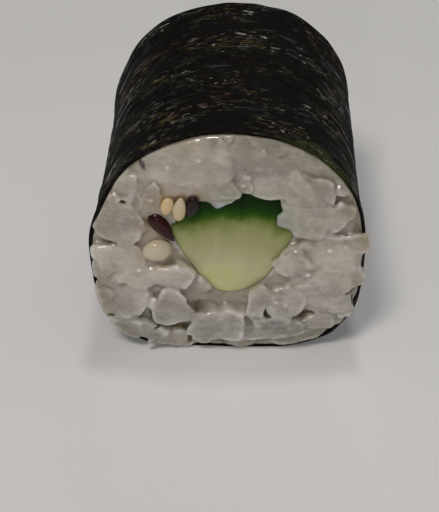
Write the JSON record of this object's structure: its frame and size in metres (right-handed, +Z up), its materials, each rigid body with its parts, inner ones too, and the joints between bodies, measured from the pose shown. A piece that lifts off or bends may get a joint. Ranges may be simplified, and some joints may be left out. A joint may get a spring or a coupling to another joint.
{
  "type": "cucumber maki roll",
  "caption": "Thin sushi roll lying on its side: nori round rice grains with a strip of cucumber down the middle and sesame seeds at the cut.",
  "frame": {"origin": "middle of the underside of the whole roll, on the surface it lies on", "axes": "+Y along the roll from the front cut to the back cut, +Z up, +X to the right seen from the front cut"},
  "size_m": [0.0276, 0.0306, 0.0262],
  "materials": {
    "nori": "damp roasted seaweed sheet, dark green-black, faint ripples and a soft sheen",
    "rice": "cooked rice, moist and slightly see-through, warm white",
    "cucumber": "wet cut cucumber, pale yellow-green flesh and seed core under a thin dark green skin",
    "sesame_white": "toasted white sesame, cream to tan",
    "sesame_black": "dark sesame, brown-black and glossy"
  },
  "bodies": {
    "root": {"nori": "nori", "rice": "rice", "cucumber": "cucumber"}
  },
  "joints": []
}
